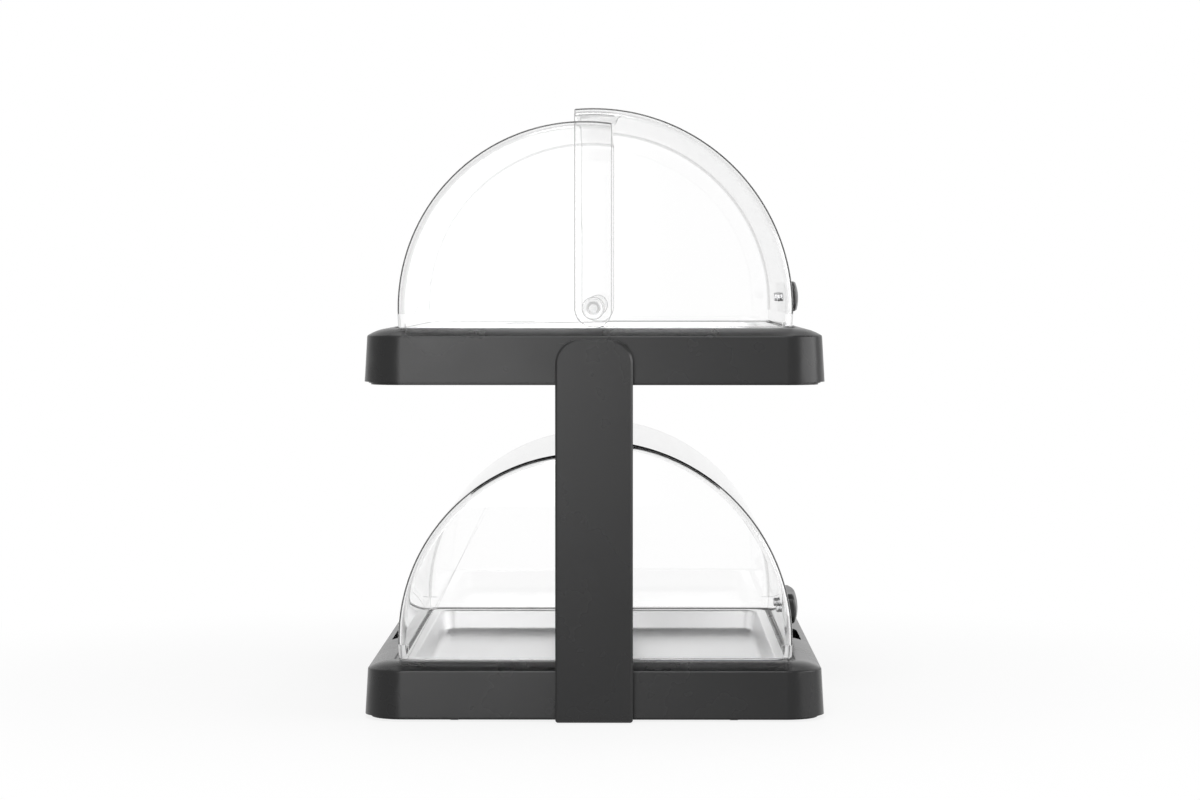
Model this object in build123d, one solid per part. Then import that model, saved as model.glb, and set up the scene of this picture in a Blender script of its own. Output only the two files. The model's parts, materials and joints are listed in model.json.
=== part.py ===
from build123d import *
from math import asin, cos, degrees, radians, sin, sqrt, tan
import os

os.makedirs("parts", exist_ok=True)

# A two-tier chilled countertop display case with roll-top hoods, in millimetres.
# +X runs along the case, -Y is the front where the handles are, +Z is up.
# The origin is on the table, under the middle of the case.

# Base moulding, the same on both tiers
base_length = 440.0
base_width = 325.0
rim_corner = 7.8
wall_height = 32.3
draft_angle = 3.3
shoulder_rise = 5.5
shoulder_edge = 1.8
shell_wall = 2.5
well_wall = 2.2

# Heights under the base moulding and between the tiers
foot_projection = 1.0
cover_projection = 2.0
tier_pitch = 235.0

# Hood: two quarter shells on one pivot line
hood_length = 384.0
hood_wall = 2.0
hood_edge = 6.0
front_radius = 141.5
shell_step = 9.0
rear_offset = 6.3
pivot_rise = 14.7
pivot_y = 1.0
lobe_radius = 13.3
cheek_gap = 0.5
seat_depth = 1.0
seat_clearance = 0.8
seat_corner = 6.0
lid_lift = 0.3

# Pivot screw and its nut
pivot_shank = 3.0
pivot_head = 8.0
pivot_head_height = 2.2
pivot_head_edge = 0.8
pivot_drive = 2.8
pivot_drive_depth = 1.0
pivot_nut = 5.4
pivot_nut_height = 3.2
running_gap = 0.05
face_gap = 0.15

# Corner feet inside the hood shells
corner_foot = 5.5
corner_foot_height = 9.5

# Handle on the front shell
handle_length = 86.0
handle_height = 22.4
handle_corner = 6.0
handle_crown = 12.5
handle_rim = 10.5
handle_end_rim = 9.5
handle_edge = 1.0
handle_rise = 7.4
handle_skin_gap = 0.05
handle_screw_pitch = 48.0
handle_screw_shank = 1.5
handle_screw_head = 3.2
handle_screw_head_height = 2.4
handle_screw_edge = 0.8
handle_screw_bite = 8.0

# Stainless tray
tray_sheet = 0.8
tray_clearance = 0.6
tray_flange = 7.0
tray_depth = 18.0
tray_slope = 4.0
tray_corner = 12.0
tray_floor_bend = 4.0

# Well under the tray and the cool packs in it
well_gap = 1.2
well_floor_z = 8.0
well_corner = 14.0
pack_count = 2
pack_thickness = 12.4
pack_gap = 3.0
pack_corner = 14.0
pack_edge = 4.0
pack_dimple = 11.0
pack_dimple_depth = 1.6
pack_dimple_row = 75.0
pack_dimple_column = 44.0
pack_cap = 5.2
pack_cap_length = 7.0
pack_cap_edge = 1.0
pack_neck = 3.6
pack_neck_length = 4.0
pack_notch_width = 22.0

# Finger notches in the long shoulders
notch_length = 76.0
notch_width = 12.0
notch_depth = 12.0
notch_corner = 3.0

# Columns at both ends
column_width = 54.2
column_thickness = 12.0
column_top_drop = 2.1
column_corner = 17.0
column_foot_corner = 2.0
column_bevel = 1.5
column_floor_gap = 0.6
column_seat_depth = 0.9
column_side_gap = 0.8
column_pad_inset = 3.0

# Screws that hold the columns, two to each base
column_screw_pitch = 26.0
column_screw_height = 16.0
column_screw_shank = 2.0
column_screw_head = 4.0
column_screw_head_height = 2.6
column_screw_bite = 8.0
screw_hole_gap = 0.2

# Bottom cover with its snap tabs and rubber feet
cover_inset = 4.5
cover_plate = 1.8
cover_rim = 2.4
cover_step_gap = 0.2
cover_step_height = 2.0
tab_width = 5.5
tab_reach = 3.0
tab_end_offset = 98.0
tab_side_offset = 140.0
tab_leg_height = 7.0
tab_leg_thickness = 1.6
tab_leg_width = 16.5
foot_radius = 7.0
foot_recess = 1.0
foot_gap = 0.2
foot_inset = 32.0

# Levels of one tier, counted from the table for the lower one
cover_bottom = foot_projection
wall_bottom = cover_bottom + cover_projection
wall_top = wall_bottom + wall_height
rim_z = wall_top + shoulder_rise
seat_z = rim_z - seat_depth
pivot_z = seat_z + pivot_rise

# Plan sizes of the rim and of what sits inside it
draft_run = wall_height * tan(radians(draft_angle))
rear_radius = front_radius - shell_step
seat_half_x = hood_length / 2 + seat_clearance
seat_half_y = front_radius + seat_clearance
rim_inset = base_width / 2 - seat_half_y
rim_half_x = base_length / 2 - rim_inset
rim_half_y = seat_half_y
plan_corner = rim_corner + rim_inset
rear_half_x = hood_length / 2 - hood_wall - cheek_gap
tray_half_x = rear_half_x - hood_wall - tray_clearance
rear_drop = sqrt((rear_radius - hood_wall) ** 2 - pivot_rise ** 2)
tray_half_y = rear_offset + rear_drop - tray_clearance
mouth_half_x = tray_half_x - tray_flange
mouth_half_y = tray_half_y - tray_flange
well_half_x = mouth_half_x + tray_sheet + well_gap
well_half_y = mouth_half_y + tray_sheet + well_gap
well_depth = seat_z - well_floor_z
well_run = well_depth * tan(radians(draft_angle))
column_plane = base_length / 2 - column_seat_depth
notch_inner_y = seat_half_y
slack = 1.0
on_base = (Align.CENTER, Align.CENTER, Align.MIN)


def rounded_slab(half_x, half_y, corner, low, high):
    outline = Pos(0, 0, low) * RectangleRounded(2 * half_x, 2 * half_y, corner)
    return extrude(outline, amount=high - low)


def tapered_block(half_x, half_y, corner, run, low, high):
    # The foot is smaller than the top by run on every side.
    top = Pos(0, 0, high) * RectangleRounded(2 * half_x, 2 * half_y, corner)
    foot_size = (2 * (half_x - run), 2 * (half_y - run))
    foot = Pos(0, 0, low) * RectangleRounded(*foot_size, corner - run)
    return loft([foot.face(), top.face()], ruled=True)


def wall_section(shrink, bottom):
    # Drafted wall and arched shoulder; x counts outwards from the rim outline.
    foot_x = rim_inset - shrink + (wall_bottom - bottom) * tan(radians(draft_angle))
    edge_x = rim_inset - shrink - draft_run
    edge_z = wall_top - shrink
    top_z = rim_z - shrink
    rise = top_z - edge_z
    arc_radius = (edge_x ** 2 + rise ** 2) / (2 * rise)
    half_turn = asin(edge_x / arc_radius) / 2
    middle = (arc_radius * sin(half_turn), top_z - arc_radius * (1 - cos(half_turn)))
    outline = Curve() + [
        Line((-slack, bottom), (foot_x, bottom)),
        Line((foot_x, bottom), (edge_x, edge_z)),
        ThreePointArc((edge_x, edge_z), middle, (0, top_z)),
        Line((0, top_z), (-slack, top_z)),
        Line((-slack, top_z), (-slack, bottom)),
    ]
    face = make_face(outline)
    if shrink:
        return face
    edge = face.vertices().sort_by_distance((edge_x, edge_z, 0))[0]
    return fillet(edge, shoulder_edge)


def base_form(shrink, bottom):
    # The section runs along the sides and turns about each plan corner.
    section = wall_section(shrink, bottom)
    side_x = rim_half_x - rim_corner
    side_y = rim_half_y - rim_corner
    long_side = extrude(Plane((0, rim_half_y, 0), x_dir=(0, 1, 0), z_dir=(1, 0, 0)) * section, amount=side_x)
    end_side = extrude(Plane((rim_half_x, 0, 0), x_dir=(1, 0, 0), z_dir=(0, -1, 0)) * section, amount=-side_y)
    turned = Plane((side_x, rim_half_y, 0), x_dir=(0, 1, 0), z_dir=(1, 0, 0)) * section
    corner = revolve(turned, Axis((side_x, side_y, 0), (0, 0, -1)), revolution_arc=90)
    quarter = long_side + corner + end_side
    half = quarter + mirror(quarter, about=Plane.YZ)
    ring = half + mirror(half, about=Plane.XZ)
    return ring + rounded_slab(rim_half_x, rim_half_y, rim_corner, bottom, rim_z - shrink)


def notch_block(wall, high):
    # One finger notch and its mirror image, or the pocket walls around them.
    length = notch_length + 2 * wall
    width = notch_width + 2 * wall
    centre_y = notch_inner_y + notch_width / 2
    low = rim_z - notch_depth - wall
    blocks = Part()
    for side in (-1, 1):
        outline = Pos(0, side * centre_y, low) * RectangleRounded(length, width, notch_corner + wall)
        blocks += extrude(outline, amount=high - low)
    return blocks


def column_screw_points():
    return [
        (end, side * column_screw_pitch / 2)
        for end in (-1, 1)
        for side in (-1, 1)
    ]


def base_housing():
    outer = base_form(0, wall_bottom)
    inner = base_form(shell_wall, wall_bottom - slack)
    well = tapered_block(well_half_x + well_wall, well_half_y + well_wall, well_corner + well_wall,
                         well_run, well_floor_z - well_wall, seat_z)
    seat = rounded_slab(seat_half_x + well_wall, seat_half_y + well_wall, seat_corner + well_wall,
                        seat_z - well_wall, rim_z)
    hollow = inner - well - seat - notch_block(well_wall, rim_z)
    body = outer - hollow
    pad_width = column_width - 2 * column_pad_inset
    pad_top = wall_top - column_top_drop - column_pad_inset
    for end in (-1, 1):
        pad_x = end * (column_plane - shell_wall / 4)
        body += Pos(pad_x, 0, wall_bottom) * Box(
            shell_wall / 2, pad_width, pad_top - wall_bottom, align=on_base)
        pocket_x = end * (column_plane + slack)
        body -= Pos(pocket_x, 0, wall_bottom - slack) * Box(
            2 * slack, column_width + 2 * column_side_gap, wall_height, align=on_base)
    body -= rounded_slab(seat_half_x, seat_half_y, seat_corner, seat_z, rim_z + slack)
    body -= tapered_block(well_half_x, well_half_y, well_corner, well_run, well_floor_z, seat_z)
    body -= notch_block(0, rim_z + slack)
    for end, y in column_screw_points():
        hole = Cylinder(column_screw_shank + screw_hole_gap, 4 * shell_wall, rotation=(0, 90, 0))
        body -= Pos(end * column_plane, y, wall_bottom + column_screw_height) * hole
    return body


def foot_points():
    x = base_length / 2 - foot_inset
    y = base_width / 2 - foot_inset
    return [(sx * x, sy * y) for sx in (-1, 1) for sy in (-1, 1)]


def snap_tab(reach_from, turn, offset, leg_face):
    # A lug under the wall's foot and a springy leg inside the wall.
    lug_size = tab_reach + slack
    high = wall_bottom - face_gap
    lug = Pos(reach_from + (tab_reach - slack) / 2, 0, cover_bottom + face_gap) * Box(
        lug_size, tab_width, high - cover_bottom - face_gap, align=on_base)
    leg_low = wall_bottom + cover_step_height - slack
    leg = Pos(leg_face - tab_leg_thickness / 2, 0, leg_low) * Box(
        tab_leg_thickness, tab_leg_width, tab_leg_height + slack, align=on_base)
    return Rot(0, 0, turn) * Pos(0, offset, 0) * (lug + leg)


def bottom_cover():
    # A thin plate with a rim that nests inside the wall's foot.
    half_x = base_length / 2 - cover_inset
    half_y = base_width / 2 - cover_inset
    cover = rounded_slab(half_x, half_y, plan_corner - cover_inset, cover_bottom, wall_bottom)
    step_inset = shell_wall + 2 * cover_step_gap
    step_x = base_length / 2 - step_inset
    step_y = base_width / 2 - step_inset
    step_corner = plan_corner - step_inset
    step_top = wall_bottom + cover_step_height
    cover += rounded_slab(step_x, step_y, step_corner, wall_bottom - cover_plate / 2, step_top)
    cover -= rounded_slab(half_x - cover_rim, half_y - cover_rim, plan_corner - cover_inset - cover_rim,
                          cover_bottom + cover_plate, step_top + slack)
    leg_run = (tab_leg_height + cover_step_height) * tan(radians(draft_angle))
    for turn in (0, 180):
        for offset in (-tab_end_offset, tab_end_offset):
            cover += snap_tab(half_x, turn, offset, step_x - leg_run)
    for turn in (90, 270):
        for offset in (-tab_side_offset, tab_side_offset):
            cover += snap_tab(half_y, turn, offset, step_y - leg_run)
    for x, y in foot_points():
        cover += Pos(x, y, cover_bottom + foot_recess / 2) * Cylinder(
            foot_radius + cover_rim, foot_recess + cover_plate, align=on_base)
        cover -= Pos(x, y, cover_bottom + foot_recess / 2) * Cylinder(foot_radius + foot_gap, foot_recess)
    return cover


def rubber_feet():
    height = foot_projection + foot_recess
    foot = Pos(0, 0, height / 2) * Cylinder(foot_radius, height)
    foot = chamfer(foot.edges().sort_by(Axis.Z)[0], foot_projection / 2)
    return [Pos(x, y, 0) * foot for x, y in foot_points()]


def tray():
    rim_top = seat_z + tray_sheet
    floor_z = rim_top - tray_depth
    outer = tapered_block(mouth_half_x + tray_sheet, mouth_half_y + tray_sheet, tray_corner + tray_sheet,
                          tray_slope, floor_z - tray_sheet, seat_z)
    outer = fillet(outer.edges().group_by(Axis.Z)[0], tray_floor_bend + tray_sheet)
    flange = rounded_slab(tray_half_x, tray_half_y, tray_corner, seat_z, rim_top)
    inner = tapered_block(mouth_half_x, mouth_half_y, tray_corner, tray_slope, floor_z, rim_top)
    inner = fillet(inner.edges().group_by(Axis.Z)[0], tray_floor_bend)
    return outer + flange - inner


def pack_frame(index):
    # Centre and half sizes of one cool pack on the well floor.
    floor_half_x = well_half_x - well_run
    floor_half_y = well_half_y - well_run
    length = (2 * floor_half_x - (pack_count + 1) * pack_gap) / pack_count
    centre = -floor_half_x + pack_gap + length / 2 + index * (length + pack_gap)
    return centre, length / 2, floor_half_y - pack_gap


def cool_pack(index):
    centre, half_x, half_y = pack_frame(index)
    low = well_floor_z + face_gap
    slab = rounded_slab(half_x, half_y, pack_corner, low, low + pack_thickness)
    slab = chamfer(slab.faces().filter_by(Axis.Z).edges(), pack_edge)
    for row in (-1, 0, 1):
        for column in (-1, 1):
            for level, turn in ((low, 0), (low + pack_thickness, 180)):
                dimple = Cone(pack_dimple, pack_dimple - pack_dimple_depth, pack_dimple_depth,
                              align=on_base)
                place = Pos(column * pack_dimple_column, row * pack_dimple_row, level) * Rot(turn, 0, 0)
                slab -= place * dimple
    notch_depth_x = pack_cap_length + pack_neck_length
    notch = Pos(half_x, 0, low + pack_thickness / 2) * Box(
        notch_depth_x * 2, pack_notch_width, pack_thickness + 2 * slack)
    slab -= notch
    neck_x = half_x - notch_depth_x - slack
    neck = Pos(neck_x, 0, low + pack_thickness / 2) * Cylinder(
        pack_neck, pack_neck_length + slack, rotation=(0, 90, 0), align=on_base)
    slab += neck
    side = Rot(0, 0, 0) if index else Rot(0, 0, 180)
    return Pos(centre, 0, 0) * side * slab


def pack_cap_piece(index):
    centre, half_x, half_y = pack_frame(index)
    level = well_floor_z + face_gap + pack_thickness / 2
    x = half_x - pack_cap_length
    cap = Pos(x, 0, level) * Cylinder(
        pack_cap, pack_cap_length, rotation=(0, 90, 0), align=on_base)
    cap = chamfer(cap.edges().sort_by(Axis.X)[-1], pack_cap_edge)
    side = Rot(0, 0, 0) if index else Rot(0, 0, 180)
    return Pos(centre, 0, 0) * side * cap


def hood_drum(radius, centre_y, half_x, edge):
    drum = Pos(0, centre_y, pivot_z) * Cylinder(radius, 2 * half_x, rotation=(0, 90, 0))
    return fillet(drum.edges().filter_by(GeomType.CIRCLE), edge)


def corner_foot_piece(radius, half_x, facing, end, centre_y, low):
    # A small block in the shell's bottom corner, sunk half way into both walls.
    side = corner_foot + hood_wall / 2
    inset = (hood_wall + side) / 2
    outline = Pos(half_x - inset, radius - inset) * Rectangle(side, side)
    corner = outline.vertices().sort_by(Axis.X)[-2:].sort_by(Axis.Y)[-1]
    outline = fillet(corner, hood_edge - hood_wall / 2)
    block = extrude(Pos(0, 0, low) * outline, amount=corner_foot_height)
    if end < 0:
        block = mirror(block, about=Plane.YZ)
    if facing < 0:
        block = mirror(block, about=Plane.XZ)
    return Pos(0, centre_y, 0) * block


def hood_shell(radius, centre_y, half_x, facing, foot_z):
    # A drum shell cut to a quarter, with cheeks that run down to round lobes.
    outer = hood_drum(radius, centre_y, half_x, hood_edge)
    inner = hood_drum(radius - hood_wall, centre_y, half_x - hood_wall, hood_edge - hood_wall)
    reach = 2 * radius
    side = Plane((-hood_length, 0, 0), x_dir=(0, 1, 0), z_dir=(1, 0, 0))
    lobe = Pos(pivot_y, pivot_z) * Circle(lobe_radius)
    quarter = Pos(pivot_y + facing * reach / 2, foot_z + reach / 2) * Rectangle(reach, reach)
    strip = Pos(pivot_y, pivot_z + reach / 2) * Rectangle(2 * lobe_radius, reach)
    cutter = extrude(side * (quarter + strip + lobe), amount=2 * hood_length)
    shell = (outer - inner) & cutter
    for end in (-1, 1):
        hole = Cylinder(pivot_shank + running_gap, 4 * hood_wall, rotation=(0, 90, 0))
        shell -= Pos(end * half_x, pivot_y, pivot_z) * hole
        shell += corner_foot_piece(radius, half_x, facing, end, centre_y, max(foot_z, rim_z + face_gap))
    return shell


def rear_hood():
    return hood_shell(rear_radius, pivot_y + rear_offset, rear_half_x, 1, seat_z)


def at_handle(shape):
    # Shapes drawn level with the pivot, facing -Y, are turned up to the handle's place.
    angle = degrees(asin(handle_rise / front_radius))
    return Pos(0, pivot_y, pivot_z) * Rot(-angle, 0, 0) * shape


def front_hood():
    # It hangs from the pivot and clears the rim, while the rear shell stands in the seat.
    shell = hood_shell(front_radius, pivot_y, hood_length / 2, -1, rim_z + lid_lift)
    for x in (-handle_screw_pitch / 2, handle_screw_pitch / 2):
        hole = Cylinder(handle_screw_shank + screw_hole_gap, 4 * hood_wall, rotation=(90, 0, 0))
        shell -= at_handle(Pos(x, -front_radius, 0) * hole)
    return shell


def crown_radius(half_span, drop):
    return (half_span ** 2 + drop ** 2) / (2 * drop)


def handle():
    # A pillow-shaped grip whose back follows the hood.
    back = front_radius + handle_skin_gap
    crown = front_radius + handle_crown
    blank_depth = handle_crown + 4 * hood_wall
    outline = Plane((0, -crown + blank_depth, 0), x_dir=(1, 0, 0), z_dir=(0, -1, 0)) * RectangleRounded(
        handle_length, handle_height, handle_corner)
    blank = extrude(outline, amount=blank_depth + slack)
    section_radius = crown_radius(handle_height / 2, handle_crown - handle_rim)
    plan_radius = crown_radius(handle_length / 2, handle_crown - handle_end_rim)
    pillow = Pos(0, plan_radius - crown, 0) * Torus(plan_radius - section_radius, section_radius)
    grip = blank & pillow
    grip = chamfer(grip.faces().sort_by(Axis.Y)[0].edges(), handle_edge)
    grip -= Cylinder(back, 2 * handle_length, rotation=(0, 90, 0))
    for x in (-handle_screw_pitch / 2, handle_screw_pitch / 2):
        pilot_end = front_radius + handle_screw_bite + running_gap
        pilot = Pos(x, -pilot_end, 0) * Cylinder(
            handle_screw_shank + running_gap, handle_screw_bite + hood_wall, rotation=(-90, 0, 0),
            align=on_base)
        grip -= pilot
    return at_handle(grip)


def handle_screws():
    screws = []
    inner = front_radius - hood_wall - face_gap
    for x in (-handle_screw_pitch / 2, handle_screw_pitch / 2):
        head = Pos(x, -inner, 0) * Cylinder(
            handle_screw_head, handle_screw_head_height, rotation=(-90, 0, 0),
            align=on_base)
        head = chamfer(head.edges().sort_by(Axis.Y)[-1], handle_screw_edge)
        length = front_radius + handle_screw_bite - inner
        shank = Pos(x, -inner, 0) * Cylinder(
            handle_screw_shank, length, rotation=(90, 0, 0), align=on_base)
        screws.append(at_handle(head + shank))
    return screws


def pivot_screw(end):
    # Drawn for the right end and turned round for the left one.
    head_x = hood_length / 2 + face_gap
    tip_x = rear_half_x - hood_wall - pivot_nut_height
    head = Pos(head_x, 0, 0) * Cylinder(
        pivot_head, pivot_head_height, rotation=(0, 90, 0), align=on_base)
    head = chamfer(head.edges().sort_by(Axis.X)[-1], pivot_head_edge)
    drive = Pos(head_x + pivot_head_height, 0, 0) * Box(2 * pivot_drive_depth, pivot_drive, pivot_drive)
    shank = Pos(tip_x, 0, 0) * Cylinder(
        pivot_shank, head_x - tip_x + slack, rotation=(0, 90, 0), align=on_base)
    screw = head + shank - drive
    turn = 0 if end > 0 else 180
    return Pos(0, pivot_y, pivot_z) * Rot(0, 0, turn) * screw


def pivot_nut_piece(end):
    face_x = rear_half_x - hood_wall
    outline = Plane((face_x - pivot_nut_height, 0, 0), x_dir=(0, 1, 0), z_dir=(1, 0, 0)) * RegularPolygon(
        pivot_nut, 6)
    nut = extrude(outline, amount=pivot_nut_height)
    nut -= Pos(face_x, 0, 0) * Cylinder(pivot_shank + running_gap, 4 * pivot_nut_height, rotation=(0, 90, 0))
    turn = 0 if end > 0 else 180
    return Pos(0, pivot_y, pivot_z) * Rot(0, 0, turn) * nut


def column(end):
    # A flat-backed bar with round top corners and a bevel all round its face.
    top = tier_pitch + wall_top - column_top_drop
    height = top - column_floor_gap
    back = Plane((column_plane, 0, column_floor_gap + height / 2), x_dir=(0, 1, 0), z_dir=(1, 0, 0))
    bar = extrude(back * Rectangle(column_width, height), amount=column_thickness)
    uprights = bar.edges().filter_by(Axis.X).group_by(Axis.Z)
    bar = fillet(uprights[-1], column_corner)
    bar = fillet(bar.edges().filter_by(Axis.X).group_by(Axis.Z)[0], column_foot_corner)
    bar = chamfer(bar.faces().sort_by(Axis.X)[-1].edges(), column_bevel)
    for level in (0, tier_pitch):
        for side in (-1, 1):
            hole_z = level + wall_bottom + column_screw_height
            pilot = Pos(column_plane, side * column_screw_pitch / 2, hole_z) * Cylinder(
                column_screw_shank + running_gap, 2 * (column_screw_bite + running_gap), rotation=(0, 90, 0))
            bar -= pilot
    turn = 0 if end > 0 else 180
    return Rot(0, 0, turn) * bar


def column_screws():
    screws = []
    head_run = (column_screw_height + column_screw_head) * tan(radians(draft_angle))
    head_x = base_length / 2 - shell_wall - head_run - face_gap
    length = column_plane + column_screw_bite - head_x
    for level in (0, tier_pitch):
        for end, y in column_screw_points():
            head = Pos(head_x, 0, 0) * Cylinder(
                column_screw_head, column_screw_head_height, rotation=(0, -90, 0),
                align=on_base)
            shank = Pos(head_x, 0, 0) * Cylinder(
                column_screw_shank, length, rotation=(0, 90, 0), align=on_base)
            turn = 0 if end > 0 else 180
            place = Pos(0, y, level + wall_bottom + column_screw_height) * Rot(0, 0, turn)
            screws.append(place * (head + shank))
    return screws


def save(name, shape, lift=0.0):
    solids = []
    for piece in shape if isinstance(shape, list) else [shape]:
        solids += (Pos(0, 0, lift) * piece).solids()
    whole = Compound(children=solids) if len(solids) > 1 else solids[0]
    whole.label = name
    export_step(whole, f"parts/{name}.step")


housing = base_housing()
cover = bottom_cover()
steel_tray = tray()
rear_shell = rear_hood()
front_shell = front_hood()
handle_grip = handle()

for tier, lift in (("lower", 0.0), ("upper", tier_pitch)):
    save(f"{tier}_base_housing", housing, lift)
    save(f"{tier}_bottom_cover", cover, lift)
    save(f"{tier}_tray", steel_tray, lift)
    for index, side in enumerate(("left", "right")):
        save(f"{tier}_{side}_cool_pack", cool_pack(index), lift)
        save(f"{tier}_{side}_pack_cap", pack_cap_piece(index), lift)
    save(f"{tier}_rear_hood", rear_shell, lift)
    save(f"{tier}_front_hood", front_shell, lift)
    save(f"{tier}_pivot_screws", [pivot_screw(-1), pivot_screw(1)], lift)
    save(f"{tier}_pivot_nuts", [pivot_nut_piece(-1), pivot_nut_piece(1)], lift)
    save(f"{tier}_handle", handle_grip, lift)
    save(f"{tier}_handle_screws", handle_screws(), lift)

save("left_column", column(-1))
save("right_column", column(1))
save("column_screws", column_screws())
save("rubber_feet", rubber_feet())
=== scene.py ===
import json
import math

import bmesh
import bpy
from mathutils import Matrix, Vector


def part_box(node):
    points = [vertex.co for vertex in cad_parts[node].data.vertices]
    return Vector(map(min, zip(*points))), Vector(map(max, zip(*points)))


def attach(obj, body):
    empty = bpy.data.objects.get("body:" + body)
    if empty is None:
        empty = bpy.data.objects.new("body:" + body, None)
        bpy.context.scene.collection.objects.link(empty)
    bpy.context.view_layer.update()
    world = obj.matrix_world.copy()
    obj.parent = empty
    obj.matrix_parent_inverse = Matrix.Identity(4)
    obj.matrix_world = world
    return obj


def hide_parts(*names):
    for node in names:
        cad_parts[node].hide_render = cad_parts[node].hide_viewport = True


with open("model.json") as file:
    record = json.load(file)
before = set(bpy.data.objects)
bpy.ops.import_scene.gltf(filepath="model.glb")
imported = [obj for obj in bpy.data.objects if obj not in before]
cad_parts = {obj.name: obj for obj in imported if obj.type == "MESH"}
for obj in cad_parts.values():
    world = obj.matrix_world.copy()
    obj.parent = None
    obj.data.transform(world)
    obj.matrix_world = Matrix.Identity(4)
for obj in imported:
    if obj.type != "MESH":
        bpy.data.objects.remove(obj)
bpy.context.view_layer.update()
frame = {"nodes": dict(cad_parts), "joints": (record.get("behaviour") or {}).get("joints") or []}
cadNodes = frame["nodes"]
joints = {joint["name"]: joint for joint in frame["joints"]}
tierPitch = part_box("upper_tray")[0].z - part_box("lower_tray")[0].z
pivot = Vector(joints["lower_lid_roll"]["pos_m"])
print("frame loaded with", len(cadNodes), "nodes")


# Small helpers for node trees

def addNode(tree, kind, place=(0, 0), **values):
    made = tree.nodes.new(kind)
    made.location = place
    for name, value in values.items():
        setattr(made, name, value)
    return made


def setInputs(node, **values):
    for name, value in values.items():
        node.inputs[name.replace("_", " ")].default_value = value


def join(tree, source, sourceSocket, target, targetSocket):
    tree.links.new(source.outputs[sourceSocket], target.inputs[targetSocket])


def addMaterial(name):
    material = bpy.data.materials.new(name)
    material.use_nodes = True
    tree = material.node_tree
    shader = tree.nodes["Principled BSDF"]
    return material, tree, shader


# The camera stands where the photograph was taken

cameraView = {
    "place": (-2.6192, -0.0232, 0.30906),
    "pitchDown": 0.0347,
    "turnLeft": 0.00797,
    "lens": 103.1,
    "sensorWidth": 36.0,
}


def addCamera(view):
    bpy.ops.object.camera_add(location=view["place"])
    camera = bpy.context.object
    camera.name = "photoCamera"
    camera.data.lens = view["lens"]
    camera.data.sensor_width = view["sensorWidth"]
    pitch, turn = view["pitchDown"], view["turnLeft"]
    aim = Vector((math.cos(pitch) * math.cos(turn), math.cos(pitch) * math.sin(turn), -math.sin(pitch)))
    camera.rotation_euler = aim.to_track_quat("-Z", "Y").to_euler()
    bpy.context.scene.camera = camera


# White studio: world, floor and soft lamps

studioLight = {
    "ambientStrength": 0.3,
    "whiteStrength": 1.0,
    "lamps": {
        "overheadSoftbox": {
            "place": (0.3, 0.0, 2.4), "aim": (0.0, 0.0, 0.2), "size": (2.0, 1.8),
            "power": 15.0, "fade": 0.25},
        "keySoftbox": {
            "place": (-2.1, 0.3, 0.42), "aim": (0.0, 0.2, 0.25), "size": (0.8, 0.8),
            "power": 15.0, "fade": 0.5},
        "bendSoftbox": {
            "place": (-1.8, 0.1, 1.75), "aim": (0.0, 0.0, 0.2), "size": (0.9, 0.6),
            "power": 25.0, "fade": 0.2},
        "sideSoftbox": {
            "place": (-0.7, -2.05, 0.6), "aim": (-0.2, -0.1, 0.2), "size": (2.4, 1.0),
            "power": 30.0, "fade": 0.08},
    },
}

floorLook = {
    "radius": 9.0,
    "sides": 96,
    "gap": 0.0001,
    "color": (0.93, 0.93, 0.93, 1.0),
    "roughness": 0.6,
    "whiteNear": 0.84,
    "fadeStart": 0.28,
    "fadeEnd": 0.7,
}


def seenByEye(tree, place):
    # One for rays that should meet the white backdrop: seen straight on, mirrored or through a clear hood.
    path = addNode(tree, "ShaderNodeLightPath", place)
    direct = addNode(tree, "ShaderNodeMath", (place[0] + 200, place[1]), operation="MAXIMUM")
    seen = addNode(tree, "ShaderNodeMath", (place[0] + 400, place[1]), operation="MAXIMUM")
    join(tree, path, "Is Camera Ray", direct, 0)
    join(tree, path, "Is Glossy Ray", direct, 1)
    join(tree, direct, 0, seen, 0)
    join(tree, path, "Is Transmission Ray", seen, 1)
    return seen


def buildWorld(light):
    world = bpy.data.worlds.new("studioWorld")
    bpy.context.scene.world = world
    world.use_nodes = True
    tree = world.node_tree
    tree.nodes.clear()
    ambient = addNode(tree, "ShaderNodeBackground", (0, 100))
    setInputs(ambient, Color=(1, 1, 1, 1), Strength=light["ambientStrength"])
    white = addNode(tree, "ShaderNodeBackground", (0, -100))
    setInputs(white, Color=(1, 1, 1, 1), Strength=light["whiteStrength"])
    mix = addNode(tree, "ShaderNodeMixShader", (250, 0))
    seen = seenByEye(tree, (-600, 300))
    join(tree, seen, 0, mix, 0)
    join(tree, ambient, 0, mix, 1)
    join(tree, white, 0, mix, 2)
    out = addNode(tree, "ShaderNodeOutputWorld", (450, 0))
    join(tree, mix, 0, out, "Surface")


def fadeSides(lamp, share):
    # The light falls off toward the left and right side of its softbox.
    lamp.data.use_nodes = True
    tree = lamp.data.node_tree
    surface = addNode(tree, "ShaderNodeNewGeometry", (-900, 0))
    across = addNode(tree, "ShaderNodeSeparateXYZ", (-700, 0))
    inward = addNode(tree, "ShaderNodeMath", (-500, 0), operation="PINGPONG")
    inward.inputs[1].default_value = 0.5
    fade = addNode(tree, "ShaderNodeMapRange", (-300, 0), interpolation_type="SMOOTHSTEP")
    setInputs(fade, From_Min=0.0, From_Max=share)
    join(tree, surface, "Parametric", across, "Vector")
    join(tree, across, "X", inward, 0)
    join(tree, inward, 0, fade, "Value")
    join(tree, fade, "Result", tree.nodes["Emission"], "Strength")


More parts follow.
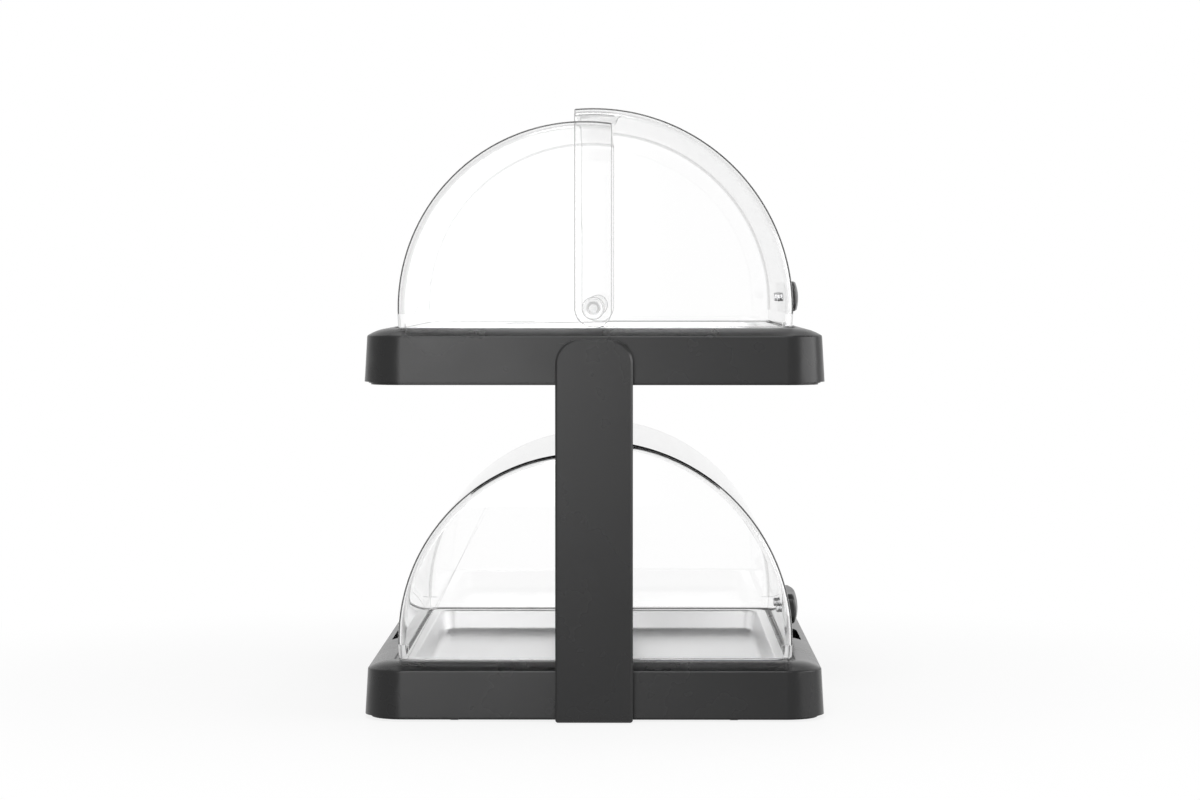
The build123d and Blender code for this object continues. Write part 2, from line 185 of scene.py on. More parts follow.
def addLamps(light):
    for name, lamp in light["lamps"].items():
        place = Vector(lamp["place"])
        bpy.ops.object.light_add(type="AREA", location=place)
        made = bpy.context.object
        made.name = name
        made.data.shape = "RECTANGLE"
        made.data.size, made.data.size_y = lamp["size"]
        made.data.energy = lamp["power"]
        made.visible_camera = False
        made.visible_transmission = False
        fadeSides(made, lamp["fade"])
        made.rotation_euler = (Vector(lamp["aim"]) - place).to_track_quat("-Z", "Y").to_euler()


def floorMaterial(look):
    # Part lit near the case, so that its shadow stays, and plain white further out. Open from below.
    material, tree, shader = addMaterial("paleFloor")
    setInputs(shader, Base_Color=look["color"], Roughness=look["roughness"])
    coords = addNode(tree, "ShaderNodeTexCoord", (-900, 0))
    distance = addNode(tree, "ShaderNodeVectorMath", (-700, 0), operation="LENGTH")
    fade = addNode(tree, "ShaderNodeMapRange", (-500, 0), interpolation_type="SMOOTHSTEP")
    setInputs(fade, From_Min=look["fadeStart"], From_Max=look["fadeEnd"], To_Min=look["whiteNear"])
    seen = seenByEye(tree, (-900, -300))
    amount = addNode(tree, "ShaderNodeMath", (-250, 0), operation="MULTIPLY")
    white = addNode(tree, "ShaderNodeEmission", (0, -300))
    mix = addNode(tree, "ShaderNodeMixShader", (350, 0))
    join(tree, coords, "Object", distance, 0)
    join(tree, distance, "Value", fade, "Value")
    join(tree, fade, "Result", amount, 0)
    join(tree, seen, 0, amount, 1)
    join(tree, amount, 0, mix, 0)
    join(tree, shader, 0, mix, 1)
    join(tree, white, 0, mix, 2)
    side = addNode(tree, "ShaderNodeNewGeometry", (350, -300))
    clear = addNode(tree, "ShaderNodeBsdfTransparent", (350, -500))
    both = addNode(tree, "ShaderNodeMixShader", (600, 0))
    join(tree, side, "Backfacing", both, 0)
    join(tree, mix, 0, both, 1)
    join(tree, clear, 0, both, 2)
    join(tree, both, 0, tree.nodes["Material Output"], "Surface")
    return material


def addFloor(look):
    place = (0, 0, -look["gap"])
    bpy.ops.mesh.primitive_circle_add(
        vertices=look["sides"], radius=look["radius"], fill_type="NGON", location=place)
    floor = bpy.context.object
    floor.name = "studioFloor"
    floor.data.materials.append(floorMaterial(look))


# Effects that several finishes share

def startGroup(name, inputs, outputs):
    group = bpy.data.node_groups.new(name, "ShaderNodeTree")
    for label, value in inputs.items():
        socket = group.interface.new_socket(name=label, in_out="INPUT", socket_type="NodeSocketFloat")
        socket.default_value = value
    for label in outputs:
        group.interface.new_socket(name=label, in_out="OUTPUT", socket_type="NodeSocketFloat")
    entry = addNode(group, "NodeGroupInput", (-900, 0))
    leave = addNode(group, "NodeGroupOutput", (700, 0))
    return group, entry, leave


def mouldedGrainGroup():
    # The fine spark-eroded grain of moulded plastic, with slow cloudiness over it.
    group, entry, leave = startGroup(
        "mouldedGrain", {"Grain Scale": 2600.0, "Cloud Scale": 14.0}, ("Height", "Cloud"))
    coords = addNode(group, "ShaderNodeTexCoord", (-900, -200))
    grain = addNode(group, "ShaderNodeTexNoise", (-600, 100))
    setInputs(grain, Detail=3.0, Roughness=0.6)
    cloud = addNode(group, "ShaderNodeTexNoise", (-600, -200))
    setInputs(cloud, Detail=4.0, Roughness=0.55)
    join(group, coords, "Object", grain, "Vector")
    join(group, coords, "Object", cloud, "Vector")
    join(group, entry, "Grain Scale", grain, "Scale")
    join(group, entry, "Cloud Scale", cloud, "Scale")
    join(group, grain, "Fac", leave, "Height")
    join(group, cloud, "Fac", leave, "Cloud")
    return group


def rubbedAndPaintedEdgeGroup():
    # A mask that is bright where an edge turns, broken up by noise. The lighter colour it lays on edges is
    # rubbed wear and partly a painted highlight.
    group, entry, leave = startGroup(
        "edgeWear", {"Width": 0.0008, "Breakup Scale": 180.0, "Amount": 1.0}, ("Mask",))
    rounded = addNode(group, "ShaderNodeBevel", (-600, 200), samples=4)
    geometry = addNode(group, "ShaderNodeNewGeometry", (-600, 0))
    likeness = addNode(group, "ShaderNodeVectorMath", (-400, 100), operation="DOT_PRODUCT")
    turned = addNode(group, "ShaderNodeMapRange", (-200, 100))
    setInputs(turned, From_Min=0.995, From_Max=0.86)
    coords = addNode(group, "ShaderNodeTexCoord", (-900, -300))
    noise = addNode(group, "ShaderNodeTexNoise", (-400, -200))
    setInputs(noise, Detail=5.0, Roughness=0.65)
    broken = addNode(group, "ShaderNodeMapRange", (-200, -200))
    setInputs(broken, From_Min=0.42, From_Max=0.62)
    rubbedAndHighlighted = addNode(group, "ShaderNodeMath", (100, 0), operation="MULTIPLY")
    scaled = addNode(group, "ShaderNodeMath", (350, 0), operation="MULTIPLY")
    join(group, entry, "Width", rounded, "Radius")
    join(group, rounded, "Normal", likeness, 0)
    join(group, geometry, "Normal", likeness, 1)
    join(group, likeness, "Value", turned, "Value")
    join(group, coords, "Object", noise, "Vector")
    join(group, entry, "Breakup Scale", noise, "Scale")
    join(group, noise, "Fac", broken, "Value")
    join(group, turned, "Result", rubbedAndHighlighted, 0)
    join(group, broken, "Result", rubbedAndHighlighted, 1)
    join(group, rubbedAndHighlighted, 0, scaled, 0)
    join(group, entry, "Amount", scaled, 1)
    join(group, scaled, 0, leave, "Mask")
    return group


def brushedStreaksGroup():
    # Long fine streaks along X, as a sheet keeps from the rolling mill.
    group, entry, leave = startGroup("brushedStreaks", {"Streak Scale": 900.0}, ("Height", "Streak"))
    coords = addNode(group, "ShaderNodeTexCoord", (-900, -200))
    stretch = addNode(group, "ShaderNodeMapping", (-700, -200))
    setInputs(stretch, Scale=(0.02, 1.0, 1.0))
    streak = addNode(group, "ShaderNodeTexNoise", (-400, 0))
    setInputs(streak, Detail=4.0, Roughness=0.7)
    join(group, coords, "Object", stretch, "Vector")
    join(group, stretch, "Vector", streak, "Vector")
    join(group, entry, "Streak Scale", streak, "Scale")
    join(group, streak, "Fac", leave, "Height")
    join(group, streak, "Fac", leave, "Streak")
    return group


# Finishes

plasticFinishes = {
    "charcoalPlastic": {
        # The lighter edge colour is rubbed wear and partly a painted highlight along the bend at the wall
        # top.
        "dark": (0.0095, 0.0095, 0.0098, 1), "light": (0.0125, 0.0125, 0.0128, 1),
        "rubbedAndHighlighted": (0.05, 0.05, 0.051, 1), "smooth": 0.25, "rough": 0.3, "specular": 0.27,
        "grainScale": 2600.0, "grainDepth": 0.00003, "wear": 0.4, "rubAndHighlightWidth": 0.0008},
    "gripPlastic": {
        "dark": (0.005, 0.005, 0.005, 1), "light": (0.008, 0.008, 0.008, 1), "rubbedAndHighlighted": (0.024, 0.024, 0.025, 1),
        "smooth": 0.28, "rough": 0.38, "specular": 0.4,
        "grainScale": 3200.0, "grainDepth": 0.00002, "wear": 0.4, "rubAndHighlightWidth": 0.0006},
    "packPlastic": {
        "dark": (0.50, 0.66, 0.80, 1), "light": (0.58, 0.73, 0.86, 1), "rubbedAndHighlighted": (0.72, 0.82, 0.90, 1),
        "smooth": 0.36, "rough": 0.5, "specular": 0.5,
        "grainScale": 900.0, "grainDepth": 0.00005, "wear": 0.3, "rubAndHighlightWidth": 0.001},
    "capPlastic": {
        "dark": (0.04, 0.12, 0.30, 1), "light": (0.05, 0.15, 0.36, 1), "rubbedAndHighlighted": (0.2, 0.32, 0.52, 1),
        "smooth": 0.3, "rough": 0.4, "specular": 0.5,
        "grainScale": 2000.0, "grainDepth": 0.00002, "wear": 0.4, "rubAndHighlightWidth": 0.0005},
    "footRubber": {
        "dark": (0.016, 0.016, 0.016, 1), "light": (0.024, 0.024, 0.024, 1), "rubbedAndHighlighted": (0.07, 0.068, 0.065, 1),
        "smooth": 0.72, "rough": 0.86, "specular": 0.3,
        "grainScale": 1500.0, "grainDepth": 0.00004, "wear": 0.5, "rubAndHighlightWidth": 0.0006},
}


def plasticMaterial(name, finish, groups):
    material, tree, shader = addMaterial(name)
    setInputs(shader, Specular_IOR_Level=finish["specular"])
    grain = addNode(tree, "ShaderNodeGroup", (-900, 0), node_tree=groups["grain"])
    setInputs(grain, Grain_Scale=finish["grainScale"])
    wear = addNode(tree, "ShaderNodeGroup", (-900, 300), node_tree=groups["wear"])
    setInputs(wear, Width=finish["rubAndHighlightWidth"], Amount=finish["wear"])
    tone = addNode(tree, "ShaderNodeMix", (-600, 200), data_type="RGBA")
    tone.inputs[6].default_value = finish["dark"]
    tone.inputs[7].default_value = finish["light"]
    # Edges get the lighter colour: rubbed wear, and partly a painted highlight.
    rubbedAndHighlighted = addNode(tree, "ShaderNodeMix", (-350, 200), data_type="RGBA")
    rubbedAndHighlighted.inputs[7].default_value = finish["rubbedAndHighlighted"]
    gloss = addNode(tree, "ShaderNodeMapRange", (-600, -100))
    setInputs(gloss, From_Min=0.3, From_Max=0.7, To_Min=finish["smooth"], To_Max=finish["rough"])
    bump = addNode(tree, "ShaderNodeBump", (-350, -250))
    setInputs(bump, Strength=0.5, Distance=finish["grainDepth"])
    join(tree, grain, "Cloud", tone, 0)
    tree.links.new(tone.outputs[2], rubbedAndHighlighted.inputs[6])
    join(tree, wear, "Mask", rubbedAndHighlighted, 0)
    tree.links.new(rubbedAndHighlighted.outputs[2], shader.inputs["Base Color"])
    join(tree, grain, "Cloud", gloss, "Value")
    join(tree, gloss, "Result", shader, "Roughness")
    join(tree, grain, "Height", bump, "Height")
    join(tree, bump, "Normal", shader, "Normal")
    return material


steelFinishes = {
    "traySteel": {
        "dark": (0.91, 0.91, 0.912, 1), "light": (0.945, 0.946, 0.948, 1), "smooth": 0.33, "rough": 0.38,
        "streakScale": 700.0, "depth": 0.0000012, "anisotropic": 0.0},
    "screwSteel": {
        "dark": (0.62, 0.62, 0.63, 1), "light": (0.78, 0.78, 0.79, 1), "smooth": 0.3, "rough": 0.4,
        "streakScale": 2200.0, "depth": 0.000004, "anisotropic": 0.2},
}


def steelMaterial(name, finish, groups):
    material, tree, shader = addMaterial(name)
    setInputs(shader, Metallic=1.0, Anisotropic=finish["anisotropic"])
    streaks = addNode(tree, "ShaderNodeGroup", (-900, 0), node_tree=groups["streaks"])
    setInputs(streaks, Streak_Scale=finish["streakScale"])
    tone = addNode(tree, "ShaderNodeMix", (-500, 200), data_type="RGBA")
    tone.inputs[6].default_value = finish["dark"]
    tone.inputs[7].default_value = finish["light"]
    gloss = addNode(tree, "ShaderNodeMapRange", (-500, -50))
    setInputs(gloss, From_Min=0.3, From_Max=0.7, To_Min=finish["smooth"], To_Max=finish["rough"])
    bump = addNode(tree, "ShaderNodeBump", (-500, -350))
    setInputs(bump, Strength=0.4, Distance=finish["depth"])
    join(tree, streaks, "Streak", tone, 0)
    tree.links.new(tone.outputs[2], shader.inputs["Base Color"])
    join(tree, streaks, "Streak", gloss, "Value")
    join(tree, gloss, "Result", shader, "Roughness")
    join(tree, streaks, "Height", bump, "Height")
    join(tree, bump, "Normal", shader, "Normal")
    return material


# The grey steps darken the colour where a surface turns away from view: painted shade and painted reflection,
# not a tint of the plastic.
clearFinishes = {
    "clearHoodPlastic": {
        "smooth": 0.0, "rough": 0.01, "ior": 1.49, "depthColor": (0.62, 0.63, 0.64, 1), "density": 5.0,
        "paintedGrazingShadeSteps": ((0.0, 1.0), (0.2, 0.98), (0.42, 0.62), (0.8, 0.52), (0.93, 0.68), (1.0, 0.85))},
    "clearEdgePlastic": {
        # The shell's cut rim, with colour darker still: a painted shade line along its edges.
        "smooth": 0.04, "rough": 0.1, "ior": 1.49, "depthColor": (0.62, 0.63, 0.64, 1), "density": 5.0,
        "paintedGrazingShadeSteps": ((0.0, 0.8), (0.3, 0.5), (1.0, 0.45))},
    "clearButtonPlastic": {
        "smooth": 0.1, "rough": 0.18, "ior": 1.42, "depthColor": (0.7, 0.71, 0.72, 1), "density": 8.0,
        "paintedGrazingShadeSteps": ((0.0, 0.92), (0.3, 0.7), (0.6, 0.6), (1.0, 0.75))},
}


def clearMaterial(name, finish, groups):
    # Clear plastic whose colour is painted grey where its surface turns away from view, a painted reflection
    # of dark surroundings; it also greys along its wall by absorption, and lets daylight through.
    material, tree, shader = addMaterial(name)
    setInputs(shader, IOR=finish["ior"], Transmission_Weight=1.0)
    facing = addNode(tree, "ShaderNodeLayerWeight", (-800, 300))
    paintedGrazingShade = addNode(tree, "ShaderNodeValToRGB", (-600, 300))
    ramp = paintedGrazingShade.color_ramp
    for position, tone in finish["paintedGrazingShadeSteps"][1:-1]:
        ramp.elements.new(position).color = (tone, tone, tone, 1)
    ends = ((ramp.elements[0], finish["paintedGrazingShadeSteps"][0]), (ramp.elements[-1], finish["paintedGrazingShadeSteps"][-1]))
    for element, (position, tone) in ends:
        element.position = position
        element.color = (tone, tone, tone, 1)
    grain = addNode(tree, "ShaderNodeGroup", (-900, 0), node_tree=groups["grain"])
    setInputs(grain, Cloud_Scale=22.0)
    haze = addNode(tree, "ShaderNodeMapRange", (-500, -50))
    setInputs(haze, From_Min=0.45, From_Max=0.75, To_Min=finish["smooth"], To_Max=finish["rough"])
    path = addNode(tree, "ShaderNodeLightPath", (-500, 600))
    daylight = addNode(tree, "ShaderNodeMath", (-200, 600), operation="MAXIMUM")
    through = addNode(tree, "ShaderNodeBsdfTransparent", (100, -400))
    mix = addNode(tree, "ShaderNodeMixShader", (450, 0))
    absorb = addNode(tree, "ShaderNodeVolumeAbsorption", (450, -300))
    setInputs(absorb, Color=finish["depthColor"], Density=finish["density"])
    out = tree.nodes["Material Output"]
    join(tree, facing, "Facing", paintedGrazingShade, "Fac")
    join(tree, paintedGrazingShade, "Color", shader, "Base Color")
    join(tree, grain, "Cloud", haze, "Value")
    join(tree, haze, "Result", shader, "Roughness")
    join(tree, path, "Is Shadow Ray", daylight, 0)
    join(tree, path, "Is Diffuse Ray", daylight, 1)
    join(tree, daylight, 0, mix, 0)
    join(tree, shader, 0, mix, 1)
    join(tree, through, 0, mix, 2)
    join(tree, mix, 0, out, "Surface")
    join(tree, absorb, 0, out, "Volume")
    return material


# Finishes and even shading for the pieces that keep their own shape

nodeFinishes = {
    "base_housing": "charcoalPlastic", "bottom_cover": "charcoalPlastic", "column": "charcoalPlastic",
    "tray": "traySteel", "cool_pack": "packPlastic", "pack_cap": "capPlastic",
    "rear_hood": "clearHoodPlastic", "front_hood": "clearHoodPlastic",
    "pivot_screws": "clearButtonPlastic", "pivot_nuts": "clearButtonPlastic",
    "handle": "gripPlastic", "handle_screws": "screwSteel", "column_screws": "screwSteel",
    "rubber_feet": "footRubber",
}


def finishOf(nodeName):
    endings = [ending for ending in nodeFinishes if nodeName.endswith(ending)]
    return nodeFinishes[max(endings, key=len)]


shadeLook = {"mergeDistance": 0.000002, "sharpAngle": 38.0}


def dressNodes(materials):
    for name, part in cadNodes.items():
        part.data.materials.clear()
        part.data.materials.append(materials[finishOf(name)])
        for face in part.data.polygons:
            face.use_smooth = True
        weld = part.modifiers.new("weldSeams", "WELD")
        weld.merge_threshold = shadeLook["mergeDistance"]
        split = part.modifiers.new("keepSharpEdges", "EDGE_SPLIT")
        split.split_angle = math.radians(shadeLook["sharpAngle"])
        split.use_edge_sharp = False
        part.modifiers.new("evenShading", "WEIGHTED_NORMAL")


# Modelling helpers

def near(value, target):
    return abs(value - target) < 0.00002


def startEdit(piece, name):
    piece.name = name
    piece.data.name = name
    bpy.ops.object.transform_apply(location=True, rotation=True, scale=True)
    bpy.ops.object.mode_set(mode="EDIT")


def endEdit():
    bpy.ops.object.mode_set(mode="OBJECT")


def pick(kind, test):
    # Selects the vertices, edges or faces whose place or normal passes the test.
    bpy.ops.mesh.select_mode(type={"verts": "VERT", "edges": "EDGE", "faces": "FACE"}[kind])
    bpy.ops.mesh.select_all(action="DESELECT")
    data = bpy.context.object.data
    mesh = bmesh.from_edit_mesh(data)
    mesh.normal_update()
    found = [item for item in getattr(mesh, kind) if test(item)]
    for item in found:
        item.select_set(True)
    mesh.select_flush_mode()
    bmesh.update_edit_mesh(data)


def middle(edge):
    return (edge.verts[0].co + edge.verts[1].co) / 2


def isSharp(edge, angle=60):
    return len(edge.link_faces) == 2 and edge.calc_face_angle() > math.radians(angle)


def useModifier(piece, kind, **values):
    bpy.context.view_layer.objects.active = piece
    modifier = piece.modifiers.new(kind, kind)
    for name, value in values.items():
        setattr(modifier, name, value)
    bpy.ops.object.modifier_apply(modifier=modifier.name)


def carve(piece, tool, operation):
    useModifier(piece, "BOOLEAN", object=tool, operation=operation, solver="EXACT")
    bpy.data.objects.remove(tool)


def softShade(piece, angle):
    bpy.ops.object.select_all(action="DESELECT")
    piece.select_set(True)
    bpy.context.view_layer.objects.active = piece
    bpy.ops.object.shade_smooth_by_angle(angle=math.radians(angle))
    useModifier(piece, "WEIGHTED_NORMAL", keep_sharp=True)


def copyPiece(source, name, matrix):
    made = source.copy()
    made.data = source.data.copy()
    made.name = name
    made.data.name = name
    made.data.transform(matrix)
    bpy.context.scene.collection.objects.link(made)
    return made


def place(piece, body, slot, *nodes):
    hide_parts(*nodes)
    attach(piece, body)


# Clear quarter shells

hoodForm = {
    "segments": 224,
    "edgeRadius": 0.006,
    "edgeSteps": 8,
    "wall": 0.002,
    "lobeSteps": 14,
    "rimRound": 0.0008,
    "rimSteps": 4,
    "rimAngle": 45,
    "pivotHole": 0.00305,
    "screwHole": 0.0017,
    "footSide": 0.0065,
    "footHeight": 0.0095,
    "footRound": 0.005,
    "footSteps": 6,
    "footGap": 0.00015,
    "footRise": 1.3,  # in rim rounds, so that a foot starts above the rounded rim
    "shadeAngle": 40,
}

handleScrewForm = {
    "spacing": 0.048,
    "rise": 0.0074,
    "headRadius": 0.0032,
    "headHeight": 0.0024,
    "headRound": 0.0009,
    "shankRadius": 0.0015,
    "bite": 0.008,
    "gap": 0.00015,
    "crossLength": 0.0038,
    "crossWidth": 0.0008,
    "crossDepth": 0.0013,
    "sides": 40,
    "roundSteps": 4,
    "pointShare": 0.15,
    "pointTaper": 0.45,
    "drillLength": 0.02,
    "drillSides": 28,
    "shadeAngle": 35,
}


def pinTool(radius, length, centre, turn, sides=40):
    bpy.ops.mesh.primitive_cylinder_add(
        vertices=sides, radius=radius, depth=length, location=centre, rotation=turn)
    bpy.ops.object.transform_apply(location=True, rotation=True, scale=True)
    return bpy.context.object


def blockTool(size, centre, turn=(0, 0, 0)):
    bpy.ops.mesh.primitive_cube_add(size=1, location=centre, rotation=turn)
    block = bpy.context.object
    block.scale = size
    bpy.ops.object.transform_apply(location=True, rotation=True, scale=True)
    return block


def cornerFoot(form, height, corner, end, facing):
    # A small block in the shell's bottom corner; corner is its outer edge at the foot.
    side = form["footSide"]
    centre = (corner[0] - end * side / 2, corner[1] - facing * side / 2, corner[2] + height / 2)
    block = blockTool((side, side, height), centre)
    bpy.ops.object.mode_set(mode="EDIT")
    pick("edges", lambda e: near(middle(e).x, corner[0]) and near(middle(e).y, corner[1]))
    bpy.ops.mesh.bevel(offset=form["footRound"], segments=form["footSteps"], profile=0.5, affect="EDGES")
    endEdit()
    return block


def hoodShell(name, node, facing, form, materials):
    low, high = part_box(node)
    radius = high.z - pivot.z
    centreY = low.y + radius if facing < 0 else high.y - radius
    stripY = high.y if facing < 0 else low.y
    halfX = high.x
    bpy.ops.object.select_all(action="DESELECT")
    bpy.ops.mesh.primitive_cylinder_add(
        vertices=form["segments"], radius=radius, depth=2 * halfX,
        location=(0, centreY, pivot.z), rotation=(0, math.pi / 2, 0))
    shell = bpy.context.object
    startEdit(shell, name)
    pick("edges", lambda e: near(abs(middle(e).x), halfX))
    bpy.ops.mesh.bevel(offset=form["edgeRadius"], segments=form["edgeSteps"], profile=0.5, affect="EDGES")
    bpy.ops.mesh.select_all(action="SELECT")
    bpy.ops.mesh.bisect(plane_co=(0, 0, low.z), plane_no=(0, 0, 1), clear_inner=True)
    bpy.ops.mesh.select_all(action="SELECT")
    bpy.ops.mesh.bisect(plane_co=(0, stripY, 0), plane_no=(0, -facing, 0), clear_outer=True)
    pick("verts", lambda v: near(v.co.y, stripY) and near(v.co.z, low.z))
    bpy.ops.mesh.bevel(
        offset=abs(stripY - pivot.y), segments=form["lobeSteps"], profile=0.5, affect="VERTICES")
    endEdit()
    shell.data.materials.append(materials["clearHoodPlastic"])
    shell.data.materials.append(materials["clearEdgePlastic"])
    useModifier(shell, "SOLIDIFY", thickness=form["wall"], offset=-1, use_even_offset=True,
                use_quality_normals=True, material_offset_rim=1)
    inset = form["wall"] / 2
    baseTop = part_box("lower_base_housing")[1].z + form["footGap"]
    footTop = max(low.z, baseTop) + form["footHeight"]
    footLow = max(low.z + form["footRise"] * form["rimRound"], baseTop)
    for end in (-1, 1):
        corner = (end * (halfX - inset), centreY + facing * (radius - inset), footLow)
        foot = cornerFoot(form, footTop - footLow, corner, end, facing)
        carve(shell, foot, "UNION")
    bpy.ops.object.mode_set(mode="EDIT")
    pick("edges", lambda e: isSharp(e, form["rimAngle"]) and sum(f.material_index for f in e.link_faces) == 1)
    bpy.ops.mesh.bevel(
        offset=form["rimRound"], segments=form["rimSteps"], profile=0.5, affect="EDGES", material=1)
    endEdit()
    carve(shell, pinTool(form["pivotHole"], 3 * halfX, pivot, (0, math.pi / 2, 0)), "DIFFERENCE")
    return shell, radius


def handleTurn(radius, form):
    # Turns a shape drawn level with the pivot, facing -Y, up to the handle's place.
    angle = math.asin(form["rise"] / radius)
    return Matrix.Translation(pivot) @ Matrix.Rotation(-angle, 4, "X")


def drillForHandle(shell, radius, form, hole):
    turn = handleTurn(radius, form)
    for side in (-1, 1):
        centre = (side * form["spacing"] / 2, -radius, 0)
        pin = pinTool(hole, form["drillLength"], centre, (math.pi / 2, 0, 0), form["drillSides"])
        pin.data.transform(turn)
        carve(shell, pin, "DIFFERENCE")


def handleScrew(name, radius, form, wall):
    # A pan head with a cross recess, inside the shell, and its shank.
    seatY = -(radius - wall - form["gap"])
    bpy.ops.object.select_all(action="DESELECT")
    bpy.ops.mesh.primitive_cylinder_add(
        vertices=form["sides"], radius=form["headRadius"], depth=form["headHeight"],
        location=(0, seatY + form["headHeight"] / 2, 0), rotation=(math.pi / 2, 0, 0))
    screw = bpy.context.object
    startEdit(screw, name)
    pick("edges", lambda e: near(middle(e).y, seatY + form["headHeight"]))
    bpy.ops.mesh.bevel(offset=form["headRound"], segments=form["roundSteps"], profile=0.5, affect="EDGES")
    pick("faces", lambda f: f.normal.y < -0.9)
    bpy.ops.mesh.inset(thickness=form["headRadius"] - form["shankRadius"])
    length = radius + form["bite"] + seatY
    point = form["pointShare"]
    bpy.ops.mesh.extrude_region_move(TRANSFORM_OT_translate={"value": (0, -length * (1 - point), 0)})
    bpy.ops.mesh.extrude_region_move(TRANSFORM_OT_translate={"value": (0, -length * point, 0)})
    bpy.ops.transform.resize(value=(form["pointTaper"], 1, form["pointTaper"]))
    endEdit()
    faceY = seatY + form["headHeight"]
    for size in ((form["crossLength"], form["crossWidth"]), (form["crossWidth"], form["crossLength"])):
        cross = blockTool((size[0], 2 * form["crossDepth"], size[1]), (0, faceY, 0))
        carve(screw, cross, "DIFFERENCE")
    softShade(screw, form["shadeAngle"])
    return screw


# Pivot buttons

buttonForm = {
    "headRadius": 0.008,
    "headHeight": 0.0022,
    "headRound": 0.0008,
    "ringInset": 0.0016,
    "dishInset": 0.0006,
    "dish": 0.0004,
    "driveSide": 0.0028,
    "driveDepth": 0.001,
    "shankRadius": 0.003,
    "nutInset": 0.0032,
    "sides": 72,
    "roundSteps": 4,
    "shadeAngle": 35,
}


def pivotButton(name, form):
    # The right-hand button: a low head with a dished face and a square drive, on its shank.
    low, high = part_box("lower_pivot_screws")
    backX = high.x - form["headHeight"]
    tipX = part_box("lower_pivot_nuts")[1].x - form["nutInset"]
    bpy.ops.object.select_all(action="DESELECT")
    bpy.ops.mesh.primitive_cylinder_add(
        vertices=form["sides"], radius=form["headRadius"], depth=form["headHeight"],
        location=(backX + form["headHeight"] / 2, pivot.y, pivot.z), rotation=(0, math.pi / 2, 0))
    button = bpy.context.object
    startEdit(button, name)
    pick("edges", lambda e: near(middle(e).x, high.x))
    bpy.ops.mesh.bevel(offset=form["headRound"], segments=form["roundSteps"], profile=0.5, affect="EDGES")
    pick("faces", lambda f: f.normal.x > 0.99 and near(f.calc_center_median().x, high.x))
    bpy.ops.mesh.inset(thickness=form["ringInset"])
    bpy.ops.mesh.inset(thickness=form["dishInset"], depth=-form["dish"])
    pick("faces", lambda f: f.normal.x < -0.99)
    bpy.ops.mesh.inset(thickness=form["headRadius"] - form["shankRadius"])
    bpy.ops.mesh.extrude_region_move(TRANSFORM_OT_translate={"value": (tipX - backX, 0, 0)})
    endEdit()
    drive = blockTool((2 * form["driveDepth"], form["driveSide"], form["driveSide"]),
                      (high.x - form["dish"], pivot.y, pivot.z))
    carve(button, drive, "DIFFERENCE")
    softShade(button, form["shadeAngle"])
    return button


# Pressed steel trays

trayForm = {
    "flange": 0.007,
    "corner": 0.012,
    "cornerSteps": 12,
    "slope": 0.004,
    "sheet": 0.0008,
    "floorBend": 0.0042,
    "bendSteps": 7,
    "mouthBend": 0.0012,
    "mouthSteps": 4,
    "mouthAngle": 45,
    "rimRound": 0.00025,
    "rimSteps": 3,
    "shadeAngle": 40,
}


def trayPiece(name, form):
    low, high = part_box("lower_tray")
    mouth = Vector((high.x - form["flange"], high.y - form["flange"]))
    bpy.ops.object.select_all(action="DESELECT")
    bpy.ops.mesh.primitive_plane_add(size=2, location=(0, 0, high.z))
    tray = bpy.context.object
    tray.scale = (mouth.x, mouth.y, 1)
    startEdit(tray, name)
    pick("verts", lambda v: True)
    bpy.ops.mesh.bevel(offset=form["corner"], segments=form["cornerSteps"], profile=0.5, affect="VERTICES")
    pick("edges", lambda e: e.is_boundary)
    bpy.ops.mesh.extrude_edges_move()
    bpy.ops.transform.resize(value=(high.x / mouth.x, high.y / mouth.y, 1))
    pick("faces", lambda f: f.calc_center_median().xy.length < 0.001)
    bpy.ops.mesh.inset(thickness=form["slope"], depth=low.z + form["sheet"] - high.z)
    floorZ = low.z + form["sheet"]
    pick("edges", lambda e: near(middle(e).z, floorZ))
    bpy.ops.mesh.bevel(offset=form["floorBend"], segments=form["bendSteps"], profile=0.5, affect="EDGES")
    pick("edges", lambda e: near(middle(e).z, high.z) and isSharp(e, form["mouthAngle"]))
    bpy.ops.mesh.bevel(offset=form["mouthBend"], segments=form["mouthSteps"], profile=0.5, affect="EDGES")
    endEdit()
    useModifier(tray, "SOLIDIFY", thickness=form["sheet"], offset=-1, use_even_offset=True)
    bpy.ops.object.mode_set(mode="EDIT")
    pick("edges", isSharp)
    bpy.ops.mesh.bevel(offset=form["rimRound"], segments=form["rimSteps"], profile=0.5, affect="EDGES")
    endEdit()
    softShade(tray, form["shadeAngle"])
    return tray


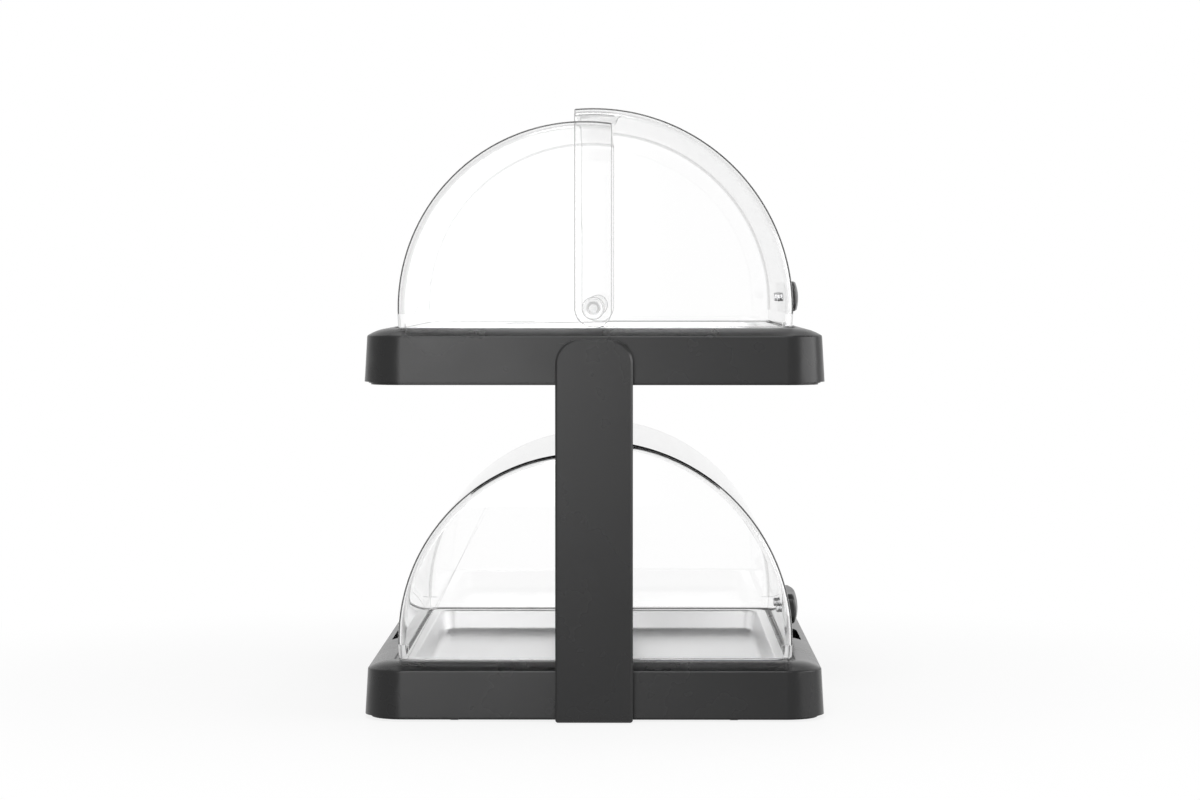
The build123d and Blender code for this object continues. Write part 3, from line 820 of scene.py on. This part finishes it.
def modelPieces(materials):
    up = Matrix.Translation((0, 0, tierPitch))
    tiers = (("lower", Matrix.Identity(4)), ("upper", up))
    rear, rearRadius = hoodShell("rearShell", "lower_rear_hood", 1, hoodForm, materials)
    softShade(rear, hoodForm["shadeAngle"])
    front, frontRadius = hoodShell("frontShell", "lower_front_hood", -1, hoodForm, materials)
    drillForHandle(front, frontRadius, handleScrewForm, hoodForm["screwHole"])
    softShade(front, hoodForm["shadeAngle"])
    print("hood shells modelled")
    tray = trayPiece("tray", trayForm)
    tray.data.materials.append(materials["traySteel"])
    print("tray modelled")
    button = pivotButton("pivotButton", buttonForm)
    button.data.materials.append(materials["clearButtonPlastic"])
    screw = handleScrew("handleScrew", frontRadius, handleScrewForm, hoodForm["wall"])
    screw.data.materials.append(materials["screwSteel"])
    screwTurn = handleTurn(frontRadius, handleScrewForm)
    halfTurn = Matrix.Translation(pivot) @ Matrix.Rotation(math.pi, 4, "Z") @ Matrix.Translation(-pivot)
    for tier, lift in tiers:
        place(copyPiece(rear, tier + "RearShell", lift), tier + "_hood", "clear_hood", tier + "_rear_hood")
        place(copyPiece(front, tier + "FrontShell", lift), tier + "_lid", "clear_hood", tier + "_front_hood")
        place(copyPiece(tray, tier + "Tray", lift), "stand", "tray_steel", tier + "_tray")
        for side, turn in (("Right", Matrix.Identity(4)), ("Left", halfTurn)):
            made = copyPiece(button, tier + side + "PivotButton", lift @ turn)
            place(made, tier + "_hood", "pivot_plastic", tier + "_pivot_screws")
        for side, shift in (("Right", 0.5), ("Left", -0.5)):
            across = Matrix.Translation((shift * handleScrewForm["spacing"], 0, 0))
            made = copyPiece(screw, tier + side + "HandleScrew", lift @ screwTurn @ across)
            place(made, tier + "_lid", "screw_steel", tier + "_handle_screws")
    for source in (rear, front, tray, button, screw):
        bpy.data.objects.remove(source)
    print("buttons and screws modelled")


bpy.ops.object.select_all(action="DESELECT")
addCamera(cameraView)
print("camera placed")
buildWorld(studioLight)
addLamps(studioLight)
addFloor(floorLook)
print("studio built")
effectGroups = {"grain": mouldedGrainGroup(), "wear": rubbedAndPaintedEdgeGroup(), "streaks": brushedStreaksGroup()}
finishes = {}
for finishName, finishValues in plasticFinishes.items():
    finishes[finishName] = plasticMaterial(finishName, finishValues, effectGroups)
for finishName, finishValues in steelFinishes.items():
    finishes[finishName] = steelMaterial(finishName, finishValues, effectGroups)
for finishName, finishValues in clearFinishes.items():
    finishes[finishName] = clearMaterial(finishName, finishValues, effectGroups)
dressNodes(finishes)
print("finishes on", len(cadNodes), "nodes")
modelPieces(finishes)

bpy.context.scene.view_settings.view_transform = "Standard"
